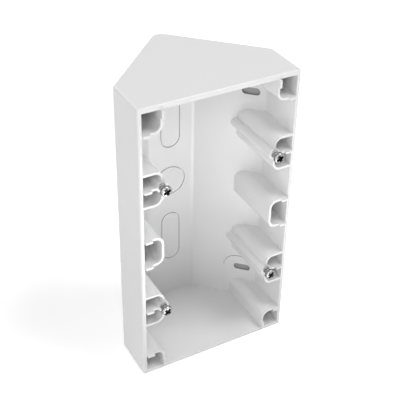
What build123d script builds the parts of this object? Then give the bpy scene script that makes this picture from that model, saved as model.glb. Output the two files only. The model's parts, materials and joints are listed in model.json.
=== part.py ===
from build123d import *
from math import sqrt
import os

# Corner mounting box for two wiring devices, one above the other. Millimetres.
# X runs along the front, Y into the corner of the room, Z up. The box stands on its
# flat bottom face; the origin is under the middle of everything, screw heads included.

# outside of the moulding
width = 83.0
height = 155.5
side_depth = 24.5
apex_radius = 5.0
edge_radius = 1.0
end_edge_radius = 0.9
half_width = width / 2
apex_depth = side_depth + half_width
reach_back = apex_depth - apex_radius * (sqrt(2) - 1)

# walls
side_wall = 1.9
end_plate = 2.4
panel_wall = 2.0
panel_depth = 50.2
room_corner = 1.0
inner_half = half_width - side_wall
inner_apex = apex_depth - side_wall * sqrt(2)
middle = height / 2

# device screws, on the standard spacing for two devices
screw_spacing = 60.0
device_pitch = 71.0
shank_radius = 1.75
thread_clearance = 0.05
head_radius = 2.8
head_height = 2.0
head_edge = 0.8
head_standoff = 3.0
shank_length = 16.0
tip_chamfer = 0.8
recess_span = 3.2
recess_slot = 0.9
recess_depth = 1.0

# hollow bosses along both side walls
boss_wall = 1.2
boss_inner_face = 29.3
boss_corner = 4.5
boss_drop = 0.5
screw_boss_height = 18.6
middle_boss_height = 16.3
corner_pocket = 10.1
column_radius = 3.0
pilot_depth = 18.0

# the support rings of the devices lie on the rim, and lugs on the boss ends stand up round them
seat_width = 71.4
seat_height = 142.6
seat_depth = 0.1
lug_height = 1.4
lug_inset = 0.15

# knock-out outlines and wall fixing slots
groove_width = 0.6
groove_depth = 0.8
round_knockout = 17.3
long_knockout = 31.2
long_knockout_width = 11.2
long_knockout_height = 36.0
slot_length = 9.3
slot_width = 4.0
slot_across = 33.9
slot_height = 55.2
slot_drop = 0.9
slot_skin = 0.5
patch_length = 17.6
patch_width = 15.2
patch_shift = 1.8
patch_end = 2.0

# cutting shapes run this far past what they cut, and edges are found to within the second value
overshoot = 1.0
near = 0.01

# the rim plane stands so that the whole model is centred in depth
head_front = head_standoff + head_height
rim_y = -(reach_back - head_front) / 2


def plan(x, depth):
    """Point of a floor plan: x across, depth behind the rim."""
    return (x, rim_y + depth)


def rim_plane(depth):
    """Plane facing forward, this far behind the rim."""
    return Plane(origin=(0, rim_y + depth, middle), x_dir=(1, 0, 0), z_dir=(0, -1, 0))


def wall_plane(side):
    """Inner face of one back wall, midway between its fixing slots, facing into the box."""
    spot = plan(side * slot_across, inner_apex - slot_across)
    return Plane(origin=(spot[0], spot[1], middle - slot_drop), x_dir=(1, -side, 0), z_dir=(-side, -1, 0))


def groove(outline_length, outline_width):
    """Thin closed groove with round ends, for one knock-out."""
    inner_length = outline_length - 2 * groove_width
    inner_width = outline_width - 2 * groove_width
    if outline_length > outline_width:
        SlotOverall(outline_length, outline_width)
        SlotOverall(inner_length, inner_width, mode=Mode.SUBTRACT)
    else:
        Circle(outline_width / 2)
        Circle(inner_width / 2, mode=Mode.SUBTRACT)


# Bosses: drawn on the rim plane, run back into the walls behind them
boss_reach = inner_half + side_wall / 2
boss_span = boss_reach - boss_inner_face
boss_mid = boss_inner_face + boss_span / 2
pocket_face = boss_inner_face + boss_wall
pocket_span = inner_half - pocket_face
pocket_mid = pocket_face + pocket_span / 2
pocket_corner = boss_corner - boss_wall
screw_pocket_height = screw_boss_height - 2 * boss_wall
middle_pocket_height = middle_boss_height - 2 * boss_wall
inner_top = middle - end_plate
corner_wall = inner_top - corner_pocket - boss_wall
back_reach = apex_depth - side_wall / 2 * sqrt(2)
screw_height = device_pitch / 2
screw_levels = (screw_height - boss_drop, -screw_height - boss_drop)
boss_ends = (inner_top + end_plate / 2, -inner_top - end_plate / 2)
corner_faces = (corner_wall - boss_drop, -corner_wall - boss_drop)
pocket_ends = (inner_top, -inner_top)
pocket_faces = (corner_faces[0] + boss_wall, corner_faces[1] - boss_wall)


def upright(x, span, low, high):
    """Rectangle of the rim plane, from its middle across and its two levels."""
    with Locations((x, (low + high) / 2)):
        Rectangle(span, abs(high - low))


# walls of the screw bosses, which end level with the rim and carry no lugs
with BuildSketch() as level_walls:
    for side in (-1, 1):
        for level in screw_levels:
            with Locations((side * boss_mid, level)):
                Rectangle(boss_span, screw_boss_height)
            with Locations((side * pocket_mid, level)):
                Rectangle(pocket_span, screw_pocket_height, mode=Mode.SUBTRACT)

# where lugs may stand in front of the rim
with BuildSketch() as lug_room:
    Rectangle(2 * (inner_half - lug_inset), 2 * (inner_top - lug_inset))
    Rectangle(seat_width, seat_height, mode=Mode.SUBTRACT)
    add(level_walls.sketch, mode=Mode.SUBTRACT)

with BuildPart() as bosses:
    # outside shapes, rounded where they stand free inside the box
    with BuildSketch(rim_plane(-lug_height)):
        for side in (-1, 1):
            for level in screw_levels:
                with Locations((side * boss_mid, level)):
                    Rectangle(boss_span, screw_boss_height)
            with Locations((side * boss_mid, -boss_drop)):
                Rectangle(boss_span, middle_boss_height)
            for end, face in zip(boss_ends, corner_faces):
                upright(side * boss_mid, boss_span, end, face)
    extrude(amount=-apex_depth)
    free_edges = bosses.edges().filter_by(Axis.Y)
    inner_edges = free_edges.filter_by(lambda e: abs(abs(e.center().X) - boss_inner_face) < near)
    inner_edges = inner_edges.filter_by(lambda e: abs(e.center().Z - middle) < inner_top)
    fillet(inner_edges, boss_corner)
    # screw columns stand half out of the inner faces
    with BuildSketch(rim_plane(-lug_height)):
        with GridLocations(screw_spacing, device_pitch, 2, 2):
            Circle(column_radius)
    extrude(amount=-apex_depth)
    # pockets, left open at the front; a web and a column stay in each screw boss
    with BuildSketch(rim_plane(-lug_height - overshoot)) as pockets:
        for side in (-1, 1):
            for level in screw_levels:
                with Locations((side * pocket_mid, level)):
                    Rectangle(pocket_span, screw_pocket_height)
            with Locations((side * pocket_mid, -boss_drop)):
                Rectangle(pocket_span, middle_pocket_height)
            for end, face in zip(pocket_ends, pocket_faces):
                upright(side * pocket_mid, pocket_span, end, face)
        free_corners = pockets.vertices().filter_by(lambda v: abs(v.X) < pocket_mid)
        fillet(free_corners.filter_by(lambda v: abs(v.Y) < inner_top - near), pocket_corner)
        for side in (-1, 1):
            for level in screw_levels:
                with Locations((side * pocket_mid, level)):
                    Rectangle(pocket_span, boss_wall, mode=Mode.SUBTRACT)
        with GridLocations(screw_spacing, device_pitch, 2, 2):
            Circle(column_radius, mode=Mode.SUBTRACT)
    extrude(amount=-apex_depth - lug_height - overshoot, mode=Mode.SUBTRACT)
    # pilot holes for the device screws
    with BuildSketch(rim_plane(-lug_height - overshoot)):
        with GridLocations(screw_spacing, device_pitch, 2, 2):
            Circle(shank_radius + thread_clearance)
    extrude(amount=-pilot_depth - lug_height - overshoot, mode=Mode.SUBTRACT)
    # all but the lugs is cut back to the rim, and the seat a little deeper
    with BuildSketch(rim_plane(-lug_height - overshoot)):
        Rectangle(width, height)
        add(lug_room.sketch, mode=Mode.SUBTRACT)
    extrude(amount=-lug_height - overshoot, mode=Mode.SUBTRACT)
    with BuildSketch(rim_plane(-overshoot)):
        Rectangle(seat_width, seat_height)
        add(level_walls.sketch, mode=Mode.SUBTRACT)
    extrude(amount=-seat_depth - overshoot, mode=Mode.SUBTRACT)
    # cut off inside the thickness of the back walls
    with BuildSketch(Plane.XY):
        Polygon(plan(-half_width, -lug_height), plan(half_width, -lug_height),
                plan(half_width, back_reach - half_width), plan(0, back_reach),
                plan(-half_width, back_reach - half_width), align=None)
    extrude(amount=height, mode=Mode.INTERSECT)

with BuildPart() as box:
    with BuildSketch(Plane.XY) as outline:
        Polygon(plan(-half_width, 0), plan(half_width, 0), plan(half_width, side_depth),
                plan(0, apex_depth), plan(-half_width, side_depth), align=None)
        fillet(outline.vertices().sort_by(Axis.Y)[-1], apex_radius)
        fillet(outline.vertices().filter_by(lambda v: abs(abs(v.X) - half_width) < near), edge_radius)
    extrude(amount=height)
    end_edges = box.edges().filter_by(lambda e: abs(e.center().Z - middle) > middle - near)
    fillet(end_edges, end_edge_radius)
    # room inside, open at the front
    with BuildSketch(Plane.XY.offset(end_plate)) as room:
        Polygon(plan(-inner_half, -overshoot), plan(inner_half, -overshoot),
                plan(inner_half, inner_apex - inner_half), plan(inner_apex - panel_depth, panel_depth),
                plan(panel_depth - inner_apex, panel_depth), plan(-inner_half, inner_apex - inner_half),
                align=None)
        fillet(room.vertices().filter_by(lambda v: v.Y > rim_y), room_corner)
    extrude(amount=height - 2 * end_plate, mode=Mode.SUBTRACT)
    # the two end plates alone reach into the corner behind the flat panel
    with BuildSketch(Plane.XY.offset(end_plate)):
        with Locations(plan(0, panel_depth + panel_wall)):
            Rectangle(width, apex_depth, align=(Align.CENTER, Align.MIN))
    extrude(amount=height - 2 * end_plate, mode=Mode.SUBTRACT)
    add(bosses.part)
    # knock-out outlines on the flat panel
    with BuildSketch(rim_plane(panel_depth)):
        groove(round_knockout, round_knockout)
    extrude(amount=-groove_depth, mode=Mode.SUBTRACT)
    with BuildSketch(rim_plane(panel_depth)):
        with Locations((0, long_knockout_height), (0, -long_knockout_height)):
            with Locations(Rotation(0, 0, 90)):
                groove(long_knockout, long_knockout_width)
    extrude(amount=-groove_depth, mode=Mode.SUBTRACT)
    # fixing slots in both back walls, closed by a thin skin; part of an outline runs over the lower one
    for side in (-1, 1):
        with BuildSketch(wall_plane(side)):
            with Locations((0, slot_height), (0, -slot_height)):
                SlotOverall(slot_length, slot_width)
        extrude(amount=slot_skin - side_wall, mode=Mode.SUBTRACT)
        with BuildSketch(wall_plane(side)):
            with Locations((-side * patch_shift, -slot_height)):
                groove(patch_length, patch_width)
            arc_middle = side * (patch_end - patch_shift - patch_length / 2)
            with Locations((arc_middle, patch_width / 2 - slot_height)):
                Rectangle(patch_length, patch_width, mode=Mode.INTERSECT)
        extrude(amount=-groove_depth, mode=Mode.SUBTRACT)

with BuildPart() as device_screws:
    with BuildSketch(rim_plane(-head_front)):
        with GridLocations(screw_spacing, device_pitch, 2, 2):
            Circle(head_radius)
    extrude(amount=-head_height)
    rims = device_screws.edges().filter_by(GeomType.CIRCLE).group_by(Axis.Y)[0]
    chamfer(rims, head_edge)
    with BuildSketch(rim_plane(-head_front)):
        with GridLocations(screw_spacing, device_pitch, 2, 2):
            Rectangle(recess_span, recess_slot)
            Rectangle(recess_slot, recess_span)
    extrude(amount=-recess_depth, mode=Mode.SUBTRACT)
    with BuildSketch(rim_plane(-head_standoff)):
        with GridLocations(screw_spacing, device_pitch, 2, 2):
            Circle(shank_radius)
    extrude(amount=-shank_length)
    tips = device_screws.edges().filter_by(GeomType.CIRCLE).group_by(Axis.Y)[-1]
    chamfer(tips, tip_chamfer)

os.makedirs("parts", exist_ok=True)
box.part.label = "box"
export_step(box.part, "parts/box.step")
device_screws.part.label = "device_screws"
export_step(device_screws.part, "parts/device_screws.step")
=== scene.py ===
# %% [markdown]
# A corner mounting box is one white plastic moulding. It is fixed in the corner of a room, its
# two back walls lie on the two walls, and its open front takes two wiring devices, one above
# the other. Four steel screws wait in its bosses for them.
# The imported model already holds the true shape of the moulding, so this lesson gives it its
# finish, makes the four screws in full detail, and lights the whole as in a small studio.

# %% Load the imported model
import json
from math import atan, pi, radians, tan

import bpy
import numpy as np
from mathutils import Matrix, Vector


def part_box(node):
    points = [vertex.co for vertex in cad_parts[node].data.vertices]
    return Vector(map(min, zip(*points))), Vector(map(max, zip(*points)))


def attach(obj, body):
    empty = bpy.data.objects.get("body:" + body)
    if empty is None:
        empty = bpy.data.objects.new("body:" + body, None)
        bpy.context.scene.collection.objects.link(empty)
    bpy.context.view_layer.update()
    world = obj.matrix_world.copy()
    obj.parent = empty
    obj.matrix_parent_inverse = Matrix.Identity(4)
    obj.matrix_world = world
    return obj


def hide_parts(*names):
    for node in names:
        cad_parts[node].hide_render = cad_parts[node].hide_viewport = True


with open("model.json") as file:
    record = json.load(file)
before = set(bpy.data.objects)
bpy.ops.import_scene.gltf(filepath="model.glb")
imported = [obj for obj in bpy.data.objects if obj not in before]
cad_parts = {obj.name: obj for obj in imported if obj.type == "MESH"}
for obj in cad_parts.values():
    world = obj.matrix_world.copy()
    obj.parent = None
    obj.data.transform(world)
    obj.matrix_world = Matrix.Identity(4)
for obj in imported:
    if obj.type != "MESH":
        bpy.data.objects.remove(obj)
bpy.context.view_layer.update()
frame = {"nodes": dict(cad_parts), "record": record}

MM = 0.001
box_low, box_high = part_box("box")
screws_low, screws_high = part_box("device_screws")
mounts = {mount["name"]: mount for mount in frame["record"]["mounts"]}
rim = mounts["front_rim"]["pos_m"][1]
print("box", [round(v / MM, 2) for v in box_high - box_low], "mm")
print("four screws together", [round(v / MM, 2) for v in screws_high - screws_low], "mm")

# %% [markdown]
# The camera comes first, because every later choice is judged through it. The photograph looks
# down into the open front from the left. Its place was found by matching the eight corners of
# the box, and it is written here as a photographer would note it: how far round to the left the
# camera stands, how far above, how much it is rolled, and its distance from the point aimed at.
# Blender takes the width of the film and the lens in millimetres. The lens follows from the
# focal length in pixels, which the match gave, and from the width of the picture.

# %% Camera
CAMERA_ROUND = radians(29.65)
CAMERA_ABOVE = radians(34.94)
CAMERA_ROLL = radians(-1.10)
CAMERA_DISTANCE = 464.2 * MM
AIM_BEHIND_RIM = 30.74 * MM
AIM_HEIGHT = 77.88 * MM
SHIFT_SIDE = -6.15 * MM
SHIFT_UP = 0.41 * MM
FOCAL_IN_PIXELS = 912.4
PICTURE_WIDTH = 400
FILM_WIDTH = 36
NEAREST_SEEN = 10 * MM


def make_camera():
    """World turned about the upright, tilted, then rolled: the rows are right, forward and up."""
    spin = Matrix.Rotation(CAMERA_ROUND, 3, "Z")
    tilt = Matrix.Rotation(CAMERA_ABOVE, 3, "X")
    roll = Matrix.Rotation(-CAMERA_ROLL, 3, "Y")
    turn = roll @ tilt @ spin
    aim = Vector((0, rim + AIM_BEHIND_RIM, AIM_HEIGHT))
    offset = Vector((SHIFT_SIDE, CAMERA_DISTANCE, SHIFT_UP))
    data = bpy.data.cameras.new("camera")
    data.sensor_width = FILM_WIDTH
    data.lens = FOCAL_IN_PIXELS / PICTURE_WIDTH * data.sensor_width
    data.clip_start = NEAREST_SEEN
    made = bpy.data.objects.new("camera", data)
    axes = Matrix((turn.row[0], turn.row[2], -turn.row[1])).transposed()
    made.matrix_world = Matrix.Translation(aim - turn.transposed() @ offset) @ axes.to_4x4()
    bpy.context.collection.objects.link(made)
    bpy.context.scene.camera = made
    return made


camera = make_camera()
print("lens", round(camera.data.lens, 1), "mm")
print("camera at", [round(v, 3) for v in camera.matrix_world.translation])

# %% [markdown]
# A material in Blender is a small network of nodes. A few helpers keep the networks of this
# lesson short. One feeds a socket with either a number or the output of another node, two make
# the nodes that are needed most, a sum and a change of range, and one gives the place.

# %% Node helpers


def link(tree, source, target):
    """One wire between two sockets of a node tree."""
    tree.links.new(source, target)


def feed(tree, socket, value):
    """A number is written into the socket, and anything else is wired to it."""
    if isinstance(value, (int, float)):
        socket.default_value = value
    else:
        link(tree, value, socket)


def math_node(tree, operation, *values):
    """Result of one math node on one or two values."""
    node = tree.nodes.new("ShaderNodeMath")
    node.operation = operation
    for socket, value in zip(node.inputs, values):
        feed(tree, socket, value)
    return node.outputs[0]


def map_range(tree, value, from_low, from_high, to_low, to_high, kind="LINEAR"):
    """Value carried from one range into another, and held at the ends of the second."""
    node = tree.nodes.new("ShaderNodeMapRange")
    node.interpolation_type = kind
    names = ("Value", "From Min", "From Max", "To Min", "To Max")
    for name, end in zip(names, (value, from_low, from_high, to_low, to_high)):
        feed(tree, node.inputs[name], end)
    return node.outputs["Result"]


def own_place(tree):
    """Place on the surface in the object's own metres."""
    return tree.nodes.new("ShaderNodeTexCoord").outputs["Object"]


print("helpers", [helper.__name__ for helper in (link, feed, math_node, map_range, own_place)])

# %% [markdown]
# A studio for a white object needs soft light from several sides, at a level where a colour
# renders about as it is written. The background is white through Light Path alone: rays from
# the camera, from gloss and through glass see white, while every other ray sees a grey sky of
# plain strength. More light on the object would whiten the background too, but the plastic
# would burn out with it.
# The floor is paper with a glow of its own for those same rays. Near the box the glow is weak,
# so that the paper still shows the shadow, and it grows to full white with the distance.

# %% Floor paper
PAPER = 0.9
FLOOR_GLOW = 0.38
GLOW_GROWS_FROM = 0.22
GLOW_FULL_AT = 1.1


def background_rays(tree):
    """1 for rays from the camera, from gloss and through glass, and 0 for all others."""
    path = tree.nodes.new("ShaderNodeLightPath").outputs
    bent = math_node(tree, "MAXIMUM", path["Is Glossy Ray"], path["Is Transmission Ray"])
    return math_node(tree, "MAXIMUM", bent, path["Is Camera Ray"])


def floor_paper():
    """Diffuse paper plus a glow for the background rays, from weak near the box to white."""
    material = bpy.data.materials.new("floor_paper")
    material.use_nodes = True
    tree = material.node_tree
    tree.nodes.clear()
    paper = tree.nodes.new("ShaderNodeBsdfDiffuse")
    paper.inputs["Color"].default_value = (PAPER, PAPER, PAPER, 1)
    away = tree.nodes.new("ShaderNodeVectorMath")
    away.operation = "LENGTH"
    link(tree, own_place(tree), away.inputs[0])
    level = map_range(tree, away.outputs["Value"], GLOW_GROWS_FROM, GLOW_FULL_AT, FLOOR_GLOW, 1)
    glow = tree.nodes.new("ShaderNodeEmission")
    link(tree, math_node(tree, "MULTIPLY", background_rays(tree), level), glow.inputs["Strength"])
    both = tree.nodes.new("ShaderNodeAddShader")
    link(tree, paper.outputs[0], both.inputs[0])
    link(tree, glow.outputs[0], both.inputs[1])
    out = tree.nodes.new("ShaderNodeOutputMaterial")
    link(tree, both.outputs[0], out.inputs["Surface"])
    return material


white_paper = floor_paper()
print(white_paper.name, "glows", FLOOR_GLOW, "near the box and 1 from", GLOW_FULL_AT, "m on")

# %% Floor
FLOOR_HALF = 2.0


def make_floor():
    """A square sheet under the box: corners at plus and minus the half size."""
    corner = np.array([(-1, -1), (1, -1), (1, 1), (-1, 1)], float) * FLOOR_HALF
    points = np.column_stack([corner, np.zeros(len(corner))])
    mesh = bpy.data.meshes.new("floor")
    mesh.from_pydata(points.tolist(), [], [(0, 1, 2, 3)])
    mesh.materials.append(white_paper)
    made = bpy.data.objects.new("floor", mesh)
    bpy.context.collection.objects.link(made)
    return made


floor = make_floor()
print(floor.name, 2 * FLOOR_HALF, "m square")

# %% Sky
SKY_STRENGTH = 0.20


def make_sky():
    """White for the background rays, a plain grey light for all others."""
    world = bpy.data.worlds.new("studio")
    bpy.context.scene.world = world
    world.use_nodes = True
    tree = world.node_tree
    tree.nodes.clear()
    light = tree.nodes.new("ShaderNodeBackground")
    light.inputs["Color"].default_value = (1, 1, 1, 1)
    strength = map_range(tree, background_rays(tree), 0, 1, SKY_STRENGTH, 1)
    link(tree, strength, light.inputs["Strength"])
    out = tree.nodes.new("ShaderNodeOutputWorld")
    link(tree, light.outputs[0], out.inputs["Surface"])
    return world


sky = make_sky()
bpy.context.scene.view_settings.view_transform = "Standard"
print("world", sky.name, "with a sky of strength", SKY_STRENGTH)

# %% [markdown]
# Most of the light comes down from the right and from the front left, as large soft boxes give
# it. The photograph also shows the undersides of the bosses and the upper part of the hollow as
# bright as the rest, and a thin bright line down the corner of the flat panel: light that comes
# up from the white table in front. One small card low in front of the box, tilted up into it,
# gives both. A grid in front of the card keeps its light narrow, so that the rim stays quieter.

# %% Soft boxes
LAMP_DISTANCE = 1.2
LAMP_SIZE = 0.5
middle = (box_low + box_high) / 2


def square_lamp(name, size, power):
    """Square area lamp of a given side in metres and power in watts."""
    data = bpy.data.lights.new(name, "AREA")
    data.shape = "SQUARE"
    data.size = size
    data.energy = power
    lamp = bpy.data.objects.new(name, data)
    bpy.context.collection.objects.link(lamp)
    return lamp


def soft_box(name, to_left, above, power):
    """Large lamp on a sphere round the box, turned to its middle.

    The direction out to it is minus sine and minus cosine of the angle from the front to the
    left, both times the cosine of the angle above the floor, and that angle's sine upwards.
    """
    lamp = square_lamp(name, LAMP_SIZE, power)
    a, e = radians(to_left), radians(above)
    outward = Vector((-np.sin(a) * np.cos(e), -np.cos(a) * np.cos(e), np.sin(e)))
    lamp.location = middle + outward * LAMP_DISTANCE
    lamp.rotation_mode = "QUATERNION"
    lamp.rotation_quaternion = outward.to_track_quat("Z", "Y")
    return lamp


soft_box("high_key", -50, 60, 7.3)
soft_box("left_fill", 35, 35, 3.8)
soft_box("left_side", 95, 45, 1.5)
soft_box("low_left", 68, 10, 2.5)
soft_box("low_front", 15, 8, 0.3)
soft_box("back_lamp", 180, 50, 2.0)

# %% Front card
CARD_SIZE = 0.09
CARD_POWER = 0.032
CARD_AWAY = 0.11
CARD_HEIGHT = 30 * MM
CARD_TILT = radians(45)
CARD_SPREAD = radians(90)


def make_front_card():
    """Lamp that faces up, then leans towards the box; the camera doesn't see it."""
    lamp = square_lamp("front_card", CARD_SIZE, CARD_POWER)
    lamp.data.spread = CARD_SPREAD
    lamp.location = (0, -CARD_AWAY, CARD_HEIGHT)
    lamp.rotation_euler = (pi - CARD_TILT, 0, 0)
    lamp.visible_camera = False
    return lamp


card = make_front_card()
print(card.name, "at", [round(v, 3) for v in card.location])

# %% [markdown]
# The moulding is white thermoplastic from a finely eroded mould: an even satin, with a grain too
# fine to see singly that breaks up the gloss, and a faint cloudiness where the melt has flowed.
# An image could hold both, but it would need a map for every wall. Noise in Object coordinates
# needs none and runs through all the walls alike, so a shared group works out what varies, and
# the material sets the constants on its own sockets.

# %% Group helpers
NOISE_LOW, NOISE_HIGH = 0.3, 0.7


def new_group(name, inputs, outputs):
    """Empty node group, with the sockets that come in and the sockets that go out."""
    group = bpy.data.node_groups.new(name, "ShaderNodeTree")
    for socket in inputs:
        group.interface.new_socket(socket, in_out="INPUT", socket_type="NodeSocketFloat")
    for socket, kind in outputs.items():
        group.interface.new_socket(socket, in_out="OUTPUT", socket_type="NodeSocket" + kind)
    given = group.nodes.new("NodeGroupInput").outputs
    return group, given, group.nodes.new("NodeGroupOutput").inputs


def use_group(tree, group, values):
    """Outputs of a group placed in a material, with its numbers set."""
    node = tree.nodes.new("ShaderNodeGroup")
    node.node_tree = group
    for name, value in values.items():
        node.inputs[name].default_value = value
    return node.outputs


def noise(tree, place, size, detail):
    """Noise whose lumps are about one size across: its scale is one over the size."""
    node = tree.nodes.new("ShaderNodeTexNoise")
    node.inputs["Detail"].default_value = detail
    link(tree, place, node.inputs["Vector"])
    link(tree, math_node(tree, "DIVIDE", 1, size), node.inputs["Scale"])
    return node.outputs["Fac"]


def spread(tree, source, low, high):
    """Noise, which keeps mostly between 0.3 and 0.7, stretched to run from low to high."""
    return map_range(tree, source, NOISE_LOW, NOISE_HIGH, low, high)


def grey(tree, level):
    """Colour whose red, green and blue are all one level."""
    node = tree.nodes.new("ShaderNodeCombineColor")
    for channel in ("Red", "Green", "Blue"):
        link(tree, level, node.inputs[channel])
    return node.outputs["Color"]


print("noise is stretched from", NOISE_LOW, "to", NOISE_HIGH)

# %% Moulded skin
PLASTIC_COLOUR = 0.72
CLOUD_COLOUR = 0.005
PLASTIC_ROUGHNESS = 0.235
CLOUD_ROUGHNESS = 0.02
CLOUD_DETAIL = 4
GRAIN_DETAIL = 3


def moulded_skin():
    """Node group: colour and roughness follow the clouds, and the height is the grain."""
    group, given, result = new_group("moulded_skin", ("Grain Size", "Cloud Size"),
                                     {"Colour": "Color", "Roughness": "Float", "Height": "Float"})
    place = own_place(group)
    cloud = noise(group, place, given["Cloud Size"], CLOUD_DETAIL)
    grain = noise(group, place, given["Grain Size"], GRAIN_DETAIL)
    level = spread(group, cloud, PLASTIC_COLOUR * (1 - CLOUD_COLOUR),
                   PLASTIC_COLOUR * (1 + CLOUD_COLOUR))
    rough = spread(group, cloud, PLASTIC_ROUGHNESS - CLOUD_ROUGHNESS,
                   PLASTIC_ROUGHNESS + CLOUD_ROUGHNESS)
    link(group, grey(group, level), result["Colour"])
    link(group, rough, result["Roughness"])
    link(group, grain, result["Height"])
    return group


skin_group = moulded_skin()
print(skin_group.name, "has", len(skin_group.nodes), "nodes")

# %% [markdown]
# The fixing slots are blind, and their bottom is a thin skin that a wood screw pierces. In the
# photograph they read as dark, while a shallow white slot renders light. A mask paints shade
# into their inside, darker with the depth, and leaves the imported shape as it is. The mask is
# worked out from the place of the slots that the record holds, so it follows them if the box
# changes.

# %% Slot shade
SLOT_EDGE = 0.1 * MM
SLOT_REACH = 1.65 * MM
slots = mounts["right_wall_slots"]


def mirrored_place(tree):
    """Place carried over to the right half: X without its sign, then Y and Z."""
    apart = tree.nodes.new("ShaderNodeSeparateXYZ")
    link(tree, own_place(tree), apart.inputs[0])
    x = math_node(tree, "ABSOLUTE", apart.outputs["X"])
    return x, apart.outputs["Y"], apart.outputs["Z"]


def length_along(tree, x, y, direction, start):
    """Length in plan from a start along a direction: the place's dot product less the start's."""
    plan = tree.nodes.new("ShaderNodeCombineXYZ")
    link(tree, x, plan.inputs["X"])
    link(tree, y, plan.inputs["Y"])
    dot = tree.nodes.new("ShaderNodeVectorMath")
    dot.operation = "DOT_PRODUCT"
    link(tree, plan.outputs[0], dot.inputs[0])
    dot.inputs[1].default_value = direction
    return math_node(tree, "SUBTRACT", dot.outputs["Value"], start.dot(direction))


def slot_shade():
    """Node group: mask of the painted shade, 1 deep inside a fixing slot and 0 elsewhere.

    The place is measured from the slot's centre in three directions: into the wall, along it
    and up. It is in the slot where it lies within half its length and half its width.
    """
    group, given, result = new_group("slot_shade", ("Deep",), {"Shade": "Float"})
    into = -Vector(slots["axis"]).normalized()
    along = Vector((into.y, -into.x, 0))
    centre = Vector(slots["pos_m"])
    size = {name: value * MM for name, value in slots["dims"].items()}
    x, y, z = mirrored_place(group)
    depth = length_along(group, x, y, into, centre)
    aside = math_node(group, "ABSOLUTE", length_along(group, x, y, along, centre))
    level = math_node(group, "ABSOLUTE", math_node(group, "SUBTRACT", z, centre.z))
    above = math_node(group, "SUBTRACT", level, size["spacing_y_mm"] / 2)
    in_length = math_node(group, "LESS_THAN", aside, size["slot_length_mm"] / 2)
    in_width = math_node(group, "LESS_THAN", math_node(group, "ABSOLUTE", above),
                         size["hole_r_mm"] + SLOT_EDGE)
    in_wall = math_node(group, "LESS_THAN", depth, SLOT_REACH)
    in_both = math_node(group, "MULTIPLY", in_length, in_width)
    inside = math_node(group, "MULTIPLY", in_both, in_wall)
    # painted shade: darker the deeper a place lies in the slot, full at the given depth
    deep = map_range(group, depth, SLOT_EDGE, given["Deep"], 0, 1, kind="SMOOTHSTEP")
    link(group, math_node(group, "MULTIPLY", inside, deep), result["Shade"])
    return group


slot_group = slot_shade()
print(slot_group.name, "has", len(slot_group.nodes), "nodes")

# %% [markdown]
# A mould has no quite sharp inner corners. Where the flat panel meets the two back walls, a
# small fillet shows in the photograph by its gloss alone, as one bright upright line. It is a
# quarter of a millimetre high, so it is drawn as a bump: the height rises towards the corner,
# which turns the shaded normal round the corner as the fillet would.

# %% Corner fillet
PANEL_DEPTH = 50.2 * MM
PLATE_WALL = 2.4 * MM
PLATE_CLEAR = 0.1 * MM


def corner_round():
    """Node group: height of the fillet between flat panel and back wall, 1 in the corner.

    The distance to the corner's upright line is the root of the summed squares of the offset in
    plan. The height is the square of the share of the reach that is left, so the slope falls
    evenly to nothing. Inside the end plates there is none.
    """
    group, given, result = new_group("corner_round", ("Reach",), {"Height": "Float"})
    corner_y = rim + PANEL_DEPTH
    corner_x = slots["pos_m"][0] + slots["pos_m"][1] - corner_y
    half_hollow = (box_high.z - box_low.z) / 2 - PLATE_WALL - PLATE_CLEAR
    x, y, z = mirrored_place(group)
    squares = [math_node(group, "POWER", math_node(group, "SUBTRACT", value, corner), 2)
               for value, corner in ((x, corner_x), (y, corner_y))]
    away = math_node(group, "SQRT", math_node(group, "ADD", *squares))
    left = map_range(group, away, 0, given["Reach"], 1, 0)
    level = math_node(group, "ABSOLUTE", math_node(group, "SUBTRACT", z, middle.z))
    in_hollow = math_node(group, "LESS_THAN", level, half_hollow)
    height = math_node(group, "MULTIPLY", math_node(group, "POWER", left, 2), in_hollow)
    link(group, height, result["Height"])
    return group


corner_group = corner_round()
print(corner_group.name, "has", len(corner_group.nodes), "nodes")

# %% [markdown]
# One material now puts the three groups together on the whole moulding: the skin gives colour
# and roughness, the slot mask paints shade into the colour, and the two heights bend the normal
# one after the other, first the fillet and then the fine grain. A second material for the slots
# alone would need faces of their own, and the imported mesh stays as it is.

# %% Plastic
GRAIN_SIZE = 0.5 * MM
GRAIN_DEPTH = 0.012 * MM
CLOUD_SIZE = 22 * MM
SLOT_DEEP = 0.9 * MM
# grey of the painted shade inside the fixing slots
SLOT_PAINTED_SHADE = 0.33
CORNER_REACH = 1.2 * MM
CORNER_SLOPE = tan(pi / 8)
PLASTIC_IOR = 1.5


def new_material(name):
    """Material with a Principled shader: the material, its tree and the shader's sockets."""
    material = bpy.data.materials.new(name)
    material.use_nodes = True
    tree = material.node_tree
    return material, tree, tree.nodes["Principled BSDF"].inputs


def bump(tree, height, depth, base=None):
    """Normal bent by a height that runs from 0 to 1 over the depth, on top of a base normal."""
    node = tree.nodes.new("ShaderNodeBump")
    node.inputs["Strength"].default_value = 1
    node.inputs["Distance"].default_value = depth
    link(tree, height, node.inputs["Height"])
    if base is not None:
        link(tree, base, node.inputs["Normal"])
    return node.outputs["Normal"]


def mix_colour(tree, factor, first, second_grey):
    """First colour where the factor is 0, a plain grey where it is 1."""
    node = tree.nodes.new("ShaderNodeMix")
    node.data_type = "RGBA"
    mask, one, other = [socket for socket in node.inputs if socket.enabled]
    other.default_value = (second_grey, second_grey, second_grey, 1)
    link(tree, factor, mask)
    link(tree, first, one)
    return next(socket for socket in node.outputs if socket.enabled)


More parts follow.
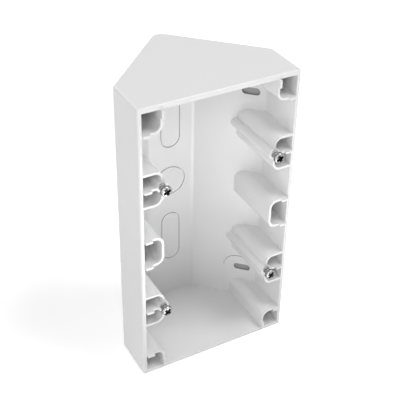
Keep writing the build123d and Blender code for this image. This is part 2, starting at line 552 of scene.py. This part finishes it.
def plastic():
    """Satin white plastic: the skin, painted shade in the slots, and a fillet under the grain."""
    material, tree, surface = new_material("moulded_plastic")
    skin = use_group(tree, skin_group, {"Grain Size": GRAIN_SIZE, "Cloud Size": CLOUD_SIZE})
    slot = use_group(tree, slot_group, {"Deep": SLOT_DEEP})
    corner = use_group(tree, corner_group, {"Reach": CORNER_REACH})
    # painted shade: the skin's colour turns to that grey inside the slots
    colour = mix_colour(tree, slot["Shade"], skin["Colour"], SLOT_PAINTED_SHADE)
    fillet = bump(tree, corner["Height"], CORNER_REACH * CORNER_SLOPE / 2)
    link(tree, colour, surface["Base Color"])
    link(tree, skin["Roughness"], surface["Roughness"])
    link(tree, bump(tree, skin["Height"], GRAIN_DEPTH, fillet), surface["Normal"])
    surface["IOR"].default_value = PLASTIC_IOR
    return material


def dress(name, material):
    """CAD node that shows one material."""
    node = frame["nodes"][name]
    node.data.materials.clear()
    node.data.materials.append(material)
    return node


box = dress("box", plastic())
print("box faces", len(box.data.polygons))

# %% [markdown]
# Each device screw is cold-formed from one wire, so it is one closed surface: a stack of rings
# round the screw's axis, from the bottom of the recess, up its walls, over the pan head and
# along the shank to the tip. A cylinder with a cross cut out of it would need a cutting
# operation and leave poor faces. Here every ring has the same columns, placed so that some of
# them meet the corners of the cross, and what changes from ring to ring is only a radius, as a
# function of the angle, and a depth.

# %% Angles of the columns
RECESS_REACH = 1.90 * MM
RECESS_HALF_SLOT = 0.76 * MM
COLUMNS_PER_FLANK = 5
COLUMNS_PER_END = 4
TINY = 1e-9


def column_angles():
    """Angles round the axis, even between the corners of a cross with four equal wings."""
    wing = atan(RECESS_HALF_SLOT / RECESS_REACH)
    flank = np.linspace(wing, pi / 4, COLUMNS_PER_FLANK, endpoint=False)
    far_flank = np.linspace(pi / 4, pi / 2 - wing, COLUMNS_PER_FLANK, endpoint=False)
    end = np.linspace(pi / 2 - wing, pi / 2 + wing, COLUMNS_PER_END, endpoint=False)
    quarter = np.concatenate([flank, far_flank, end])
    return np.concatenate([quarter + pi / 2 * k for k in range(4)])


def cross_outline(angle):
    """Distance from the axis to the cross: the wing's end near its axis, else its flank."""
    folded = np.abs((angle + pi / 4) % (pi / 2) - pi / 4)
    at_end = RECESS_REACH / np.cos(folded)
    at_flank = RECESS_HALF_SLOT / np.maximum(np.sin(folded), TINY)
    return np.minimum(at_end, at_flank)


angles = column_angles()
cross = cross_outline(angles)
print("columns", len(angles))
print("cross from", round(cross.min() / MM, 2), "to", round(cross.max() / MM, 2), "mm")

# %% [markdown]
# The head is a pan head: a shallow dome, a rounded rim and a flat underside. The recess is drawn
# in towards its bottom, as a driver's tip is, and ends in a blunt point. The rounding of the rim
# ends at about six tenths of the head's height, and the edge of the underside starts at nine.

# %% Head
HEAD_RADIUS = mounts["device_screws"]["dims"]["stud_r_mm"] * MM
HEAD_HEIGHT = 2.0 * MM
DOME = 0.35 * MM
RIM_ROUND = 0.75 * MM
RIM_ENDS_AT = 0.62
RIM_RINGS = 6
UNDERSIDE_FROM = 0.9
UNDER_ROUND = 0.12 * MM
NECK_ROUND = 0.25 * MM
SHANK_RADIUS = 1.75 * MM
RECESS_DEPTH = 1.50 * MM
RECESS_TAPER = 0.62
RECESS_STEPS = (0.0, 0.35, 0.7, 1.0)
FACE_STEPS = (0.12, 0.4, 0.7, 1.0)


def dome_depth(radius):
    """Depth of the face below its top: the dome's height times the squared share of radius."""
    return DOME * (radius / HEAD_RADIUS) ** 2


def head_rings():
    """Radii and depths from the bottom of the recess to the shank, per ring and column.

    A step is the share of the way that a ring has gone: up the wall of the recess, and then from
    the cross to where the rim's rounding starts.
    """
    radii, depths = [], []
    for share in RECESS_STEPS:
        radii.append(cross * (RECESS_TAPER + (1 - RECESS_TAPER) * share))
        depths.append(dome_depth(cross) * share + RECESS_DEPTH * (1 - share))
    flat_radius = HEAD_RADIUS - RIM_ROUND
    for share in FACE_STEPS:
        radius = cross + (flat_radius - cross) * share
        radii.append(radius)
        depths.append(dome_depth(radius))
    even = np.ones_like(cross)
    start = dome_depth(flat_radius)
    for turn in np.linspace(0, pi / 2, RIM_RINGS + 1)[1:]:
        radii.append(even * (flat_radius + RIM_ROUND * np.sin(turn)))
        depths.append(even * (start + (HEAD_HEIGHT * RIM_ENDS_AT - start) * (1 - np.cos(turn))))
    for radius, share in ((HEAD_RADIUS, UNDERSIDE_FROM), (HEAD_RADIUS - UNDER_ROUND, 1),
                          (SHANK_RADIUS + NECK_ROUND, 1)):
        radii.append(even * radius)
        depths.append(even * HEAD_HEIGHT * share)
    return np.array(radii), np.array(depths)


head_radii, head_depths = head_rings()
print("head rings", len(head_radii))

# %% [markdown]
# The thread is rolled, so its crests stand out from the core and are slightly rounded. Its radius
# is the core plus a height times a wave, and the wave's phase is the length in pitches less the
# angle in turns: that is what makes a ridge climb like a helix. The wave fades in under the head
# and out at the tip.

# %% Thread
SHANK_LENGTH = 16.0 * MM
PITCH = 1.27 * MM
CORE_RADIUS = 1.28 * MM
CREST_NARROWS = 1.4
RINGS_PER_PITCH = 12
PLAIN_NECK = 0.5 * MM
TIP_LENGTH = 1.4 * MM
TIP_LEFT = 0.12


def thread_rings():
    """Radii, depths and painted shade in the valleys: core plus height times the helix wave.

    The wave is half of one plus a cosine, to a power above one, which narrows its crests.
    """
    count = int(SHANK_LENGTH / PITCH * RINGS_PER_PITCH)
    along = np.linspace(0, SHANK_LENGTH, count)[:, None]
    ahead = SHANK_LENGTH - along
    phase = along / PITCH - angles[None, :] / (2 * pi)
    wave = (0.5 + 0.5 * np.cos(2 * pi * phase)) ** CREST_NARROWS
    fade = np.clip((along - PLAIN_NECK) / PITCH, 0, 1) * np.clip(ahead / (2 * PITCH), 0, 1)
    ridge = (SHANK_RADIUS - CORE_RADIUS) * wave * fade
    narrowing = np.sqrt(np.clip(ahead / TIP_LENGTH, TIP_LEFT, 1))
    depths = HEAD_HEIGHT + np.repeat(along, len(angles), axis=1)
    # painted shade: 0 on the crests, 1 in the valleys and on the plain neck and tip
    return (CORE_RADIUS + ridge) * narrowing, depths, 1 - wave * fade


shank_radii, shank_depths, shank_painted_shade = thread_rings()
print("shank rings", len(shank_radii))

# %% [markdown]
# One helper turns a stack of rings into a closed mesh: a point closes each end, the last column
# joins the first, and every face points outwards. The same grid gives the UV map, once round the
# axis and once along the profile, on which the metal is drawn.

# %% Rings to mesh
SHARP_FROM = radians(38)


def stack_faces(rings, columns):
    """Corner numbers: quads between neighbouring rings, then a fan of triangles at each end."""
    ring, column = np.meshgrid(np.arange(rings - 1), np.arange(columns), indexing="ij")
    after = (column + 1) % columns
    quads = np.stack([ring * columns + column, (ring + 1) * columns + column,
                      (ring + 1) * columns + after, ring * columns + after], axis=-1)
    here = np.arange(columns)
    there = (here + 1) % columns
    top = (rings - 1) * columns
    low_fan = np.column_stack([np.full(columns, rings * columns), here, there])
    high_fan = np.column_stack([np.full(columns, rings * columns + 1), top + there, top + here])
    return quads.reshape(-1, 4), low_fan, high_fan


def ring_map(corners, quads, rings, columns):
    """UV: column and ring as shares of the whole, with 1 for the corners that close a ring."""
    closing = (np.arange(len(quads)) % columns == columns - 1).repeat(4)
    wraps = np.zeros(len(corners), bool)
    wraps[:quads.size] = closing & (quads % columns == 0).ravel()
    u = np.where(wraps, 1.0, (corners % columns) / columns)
    return np.column_stack([u, np.clip((corners // columns) / rings, 0, 1)])


def make_stack(name, points, end_points, darkness, material):
    """Closed mesh from points[ring, column], with a UV map and a painted shade for every point."""
    rings, columns = points.shape[:2]
    quads, low_fan, high_fan = stack_faces(rings, columns)
    mesh = bpy.data.meshes.new(name)
    places = np.concatenate([points.reshape(-1, 3), end_points])
    mesh.from_pydata(places.tolist(), [], quads.tolist() + low_fan.tolist() + high_fan.tolist())
    corners = np.empty(len(mesh.loops), int)
    mesh.loops.foreach_get("vertex_index", corners)
    uv = ring_map(corners, quads, rings, columns)
    mesh.uv_layers.new(name="turned").data.foreach_set("uv", uv.ravel())
    # painted shade per point, full at the two end points
    shade = np.concatenate([darkness.ravel(), np.ones(len(end_points))])
    mesh.attributes.new("darkness", "FLOAT", "POINT").data.foreach_set("value", shade)
    mesh.shade_smooth()
    mesh.set_sharp_from_angle(angle=SHARP_FROM)
    mesh.materials.append(material)
    made = bpy.data.objects.new(name, mesh)
    bpy.context.collection.objects.link(made)
    return made


print("one screw has", 2 * len(angles) * (len(head_radii) + len(shank_radii)), "triangles")

# %% [markdown]
# The screws are steel, plated bright. What makes small steel read as steel is contrast: the bottom
# of the recess and the valleys of the thread are painted dark, a painted shade where light hardly
# gets in, while crests and rim keep the bright plating. The group mixes the two by the painted
# shade of each point, and the turned lines come from the UV map.

# %% Steel
STEEL_BRIGHT = 0.32
# colour of the painted shade in the recess and the thread's valleys
STEEL_PAINTED_SHADE = 0.03
STEEL_SMOOTH = 0.18
STEEL_ROUGH = 0.36
LINES_ROUND = 3
LINES_ALONG = 900


def turned_steel():
    """Node group: colour from bright to a painted shade, roughness from fine turned lines."""
    group, given, result = new_group("turned_steel", ("Bright", "Dark"),
                                     {"Colour": "Color", "Roughness": "Float"})
    # painted shade, read from the points' attribute
    darkness = group.nodes.new("ShaderNodeAttribute")
    darkness.attribute_name = "darkness"
    tone = map_range(group, darkness.outputs["Fac"], 0, 1, given["Bright"], given["Dark"],
                     kind="SMOOTHSTEP")
    link(group, grey(group, tone), result["Colour"])
    map_uv = group.nodes.new("ShaderNodeUVMap")
    map_uv.uv_map = "turned"
    stretch = group.nodes.new("ShaderNodeMapping")
    stretch.inputs["Scale"].default_value = (LINES_ROUND, LINES_ALONG, 1)
    link(group, map_uv.outputs["UV"], stretch.inputs["Vector"])
    lines = group.nodes.new("ShaderNodeTexNoise")
    lines.inputs["Scale"].default_value = 1
    link(group, stretch.outputs["Vector"], lines.inputs["Vector"])
    rough = spread(group, lines.outputs["Fac"], STEEL_SMOOTH, STEEL_ROUGH)
    link(group, rough, result["Roughness"])
    return group


def steel():
    """Plated steel: the group feeds colour and roughness."""
    material, tree, surface = new_material("plated_steel")
    turned = use_group(tree, turned_steel(), {"Bright": STEEL_BRIGHT, "Dark": STEEL_PAINTED_SHADE})
    link(tree, turned["Colour"], surface["Base Color"])
    link(tree, turned["Roughness"], surface["Roughness"])
    surface["Metallic"].default_value = 1
    return material


screw_steel = steel()
dress("device_screws", screw_steel)
print("steel", screw_steel.name)

# %% [markdown]
# All four screws share one shape. They stand on the spacing of the devices, which the record
# holds, and each is turned as in the photograph, to where the driver stopped.

# %% Screws
SCREW_PLACES = {"upper_left": (-1, 1, 25), "upper_right": (1, 1, 25),
                "lower_left": (-1, -1, 45), "lower_right": (1, -1, 55)}
RECESS_POINT = 0.25 * MM
pattern = mounts["device_screws"]["dims"]
half_across = pattern["spacing_x_mm"] * MM / 2
half_up = pattern["spacing_y_mm"] * MM / 2


def make_screw(name, side, level, turn):
    """One screw: x and z turn with the angle, y is the depth behind the front of the head."""
    radii = np.concatenate([head_radii, shank_radii])
    depths = np.concatenate([head_depths, shank_depths])
    # painted shade of the head: on the walls and bottom of the recess only
    head_painted_shade = np.zeros_like(head_radii)
    head_painted_shade[:len(RECESS_STEPS)] = 1
    turned = angles + radians(turn)
    centre_x = side * half_across
    centre_z = middle.z + level * half_up
    points = np.stack([centre_x + radii * np.cos(turned), screws_low.y + depths,
                       centre_z + radii * np.sin(turned)], axis=-1)
    bottom = screws_low.y + RECESS_DEPTH + RECESS_POINT
    tip = screws_low.y + depths.max()
    end_points = np.array([(centre_x, bottom, centre_z), (centre_x, tip, centre_z)])
    # painted shade of the recess and the thread's valleys
    darkness = np.concatenate([head_painted_shade, shank_painted_shade])
    piece = make_stack("screw_" + name, points, end_points, darkness, screw_steel)
    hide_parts("device_screws")
    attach(piece, "root")
    return piece


screws = [make_screw(name, *place) for name, place in SCREW_PLACES.items()]
print("screws", [piece.name for piece in screws])
